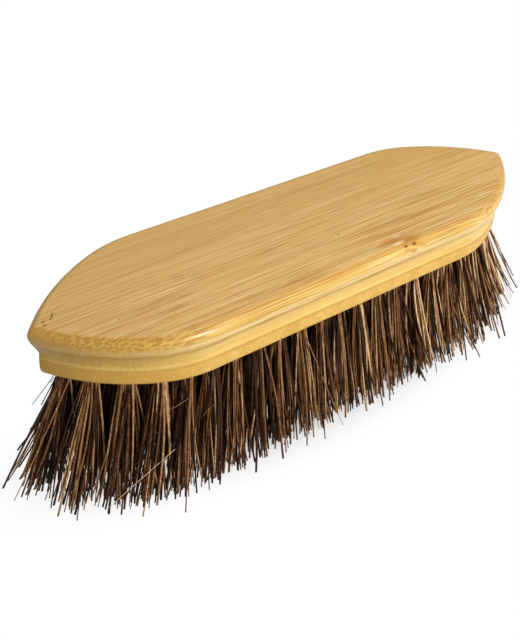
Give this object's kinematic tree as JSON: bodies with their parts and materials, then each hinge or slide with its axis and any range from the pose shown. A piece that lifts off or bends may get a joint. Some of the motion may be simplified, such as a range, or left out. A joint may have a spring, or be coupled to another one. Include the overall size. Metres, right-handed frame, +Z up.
{
  "type": "dandy brush",
  "caption": "Long oval grooming and scrubbing brush: a moulded laminated bamboo block with finger grooves, set with stiff palm fibre tufts.",
  "frame": {"origin": "on the surface that the brush stands on, under the middle of the block", "axes": "+X along the block's length, +Y across it, +Z up out of the block's flat top"},
  "size_m": [0.2417, 0.0746, 0.0707],
  "materials": {
    "bamboo_top": "satin lacquer over laminated bamboo",
    "bamboo_core": "satin lacquer over laminated bamboo",
    "bamboo_base": "satin lacquer over laminated bamboo",
    "palm_fibre": "stiff brown palm fibre"
  },
  "bodies": {
    "root": {"top_ply": "bamboo_top", "core_ply": "bamboo_core", "base_ply": "bamboo_base", "tuft_row_01": "palm_fibre", "tuft_row_02": "palm_fibre", "tuft_row_03": "palm_fibre", "tuft_row_04": "palm_fibre", "tuft_row_05": "palm_fibre", "tuft_row_06": "palm_fibre", "tuft_row_07": "palm_fibre", "tuft_row_08": "palm_fibre", "tuft_row_09": "palm_fibre", "tuft_row_10": "palm_fibre", "tuft_row_11": "palm_fibre", "tuft_row_12": "palm_fibre", "tuft_row_13": "palm_fibre", "tuft_row_14": "palm_fibre", "tuft_row_15": "palm_fibre", "tuft_row_16": "palm_fibre", "tuft_row_17": "palm_fibre", "tuft_row_18": "palm_fibre", "tuft_row_19": "palm_fibre", "tuft_row_20": "palm_fibre", "tuft_row_21": "palm_fibre", "tuft_row_22": "palm_fibre", "tuft_row_23": "palm_fibre"}
  },
  "joints": []
}
